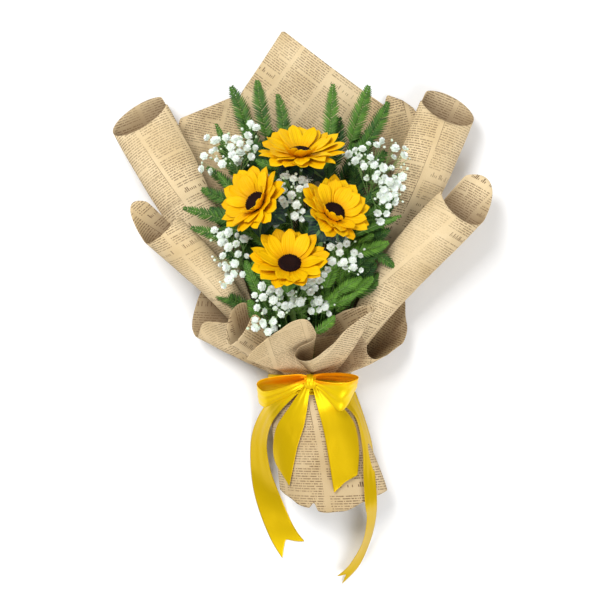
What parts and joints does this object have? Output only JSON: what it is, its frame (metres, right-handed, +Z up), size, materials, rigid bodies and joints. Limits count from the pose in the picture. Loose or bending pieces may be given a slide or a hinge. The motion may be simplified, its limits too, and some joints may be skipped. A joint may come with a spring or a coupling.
{
  "type": "bunch of sunflowers",
  "caption": "Tied bunch of sunflowers with fern and baby's breath, in printed kraft paper rolls and a ruffled collar, tied with a yellow satin bow, lying on its back.",
  "frame": {"origin": "middle of the flat spot of the back sheet, on the surface that the bunch lies on", "axes": "+X to the right of the bunch seen from above, +Y from the stems towards the blooms, +Z up from the surface"},
  "size_m": [0.4665, 0.6942, 0.1859],
  "materials": {
    "petal": "soft matt golden petal with fine lengthwise veins",
    "disc": "near-black disc florets with a maroon rim",
    "stem": "matt green stem and bracts",
    "leaf": "slightly glossy dark green fern",
    "floret": "matt white petals, pale green buds",
    "kraft_newsprint": "uncoated warm kraft paper, printed with unreadable brown newspaper columns",
    "satin_ribbon": "golden yellow double-face satin",
    "twine": "dull jute"
  },
  "bodies": {
    "root": {"sunflower_1_petals": "petal", "sunflower_1_disc": "disc", "sunflower_1_stem": "stem", "sunflower_2_petals": "petal", "sunflower_2_disc": "disc", "sunflower_2_stem": "stem", "sunflower_3_petals": "petal", "sunflower_3_disc": "disc", "sunflower_3_stem": "stem", "sunflower_4_petals": "petal", "sunflower_4_disc": "disc", "sunflower_4_stem": "stem", "fern_1": "leaf", "fern_2": "leaf", "fern_3": "leaf", "fern_4": "leaf", "fern_5": "leaf", "fern_6": "leaf", "fern_7": "leaf", "fern_8": "leaf", "fern_9": "leaf", "fern_10": "leaf", "fern_11": "leaf", "fern_12": "leaf", "fern_13": "leaf", "fern_14": "leaf", "fern_15": "leaf", "fern_16": "leaf", "babys_breath_1": "floret", "babys_breath_2": "floret", "babys_breath_3": "floret", "babys_breath_4": "floret", "babys_breath_5": "floret", "babys_breath_6": "floret", "babys_breath_7": "floret", "paper_left_upper_roll": "kraft_newsprint", "paper_left_lower_roll": "kraft_newsprint", "paper_right_upper_roll": "kraft_newsprint", "paper_right_lower_roll": "kraft_newsprint", "paper_back_left": "kraft_newsprint", "paper_back_right": "kraft_newsprint", "paper_back_sheet": "kraft_newsprint", "paper_collar": "kraft_newsprint", "paper_skirt": "kraft_newsprint", "stem_tie": "twine", "ribbon_band": "satin_ribbon", "ribbon_knot": "satin_ribbon", "ribbon_loop_left": "satin_ribbon", "ribbon_loop_right": "satin_ribbon", "ribbon_tail_left_long": "satin_ribbon", "ribbon_tail_left_short": "satin_ribbon", "ribbon_tail_right_short": "satin_ribbon", "ribbon_tail_right_long": "satin_ribbon"}
  },
  "joints": []
}
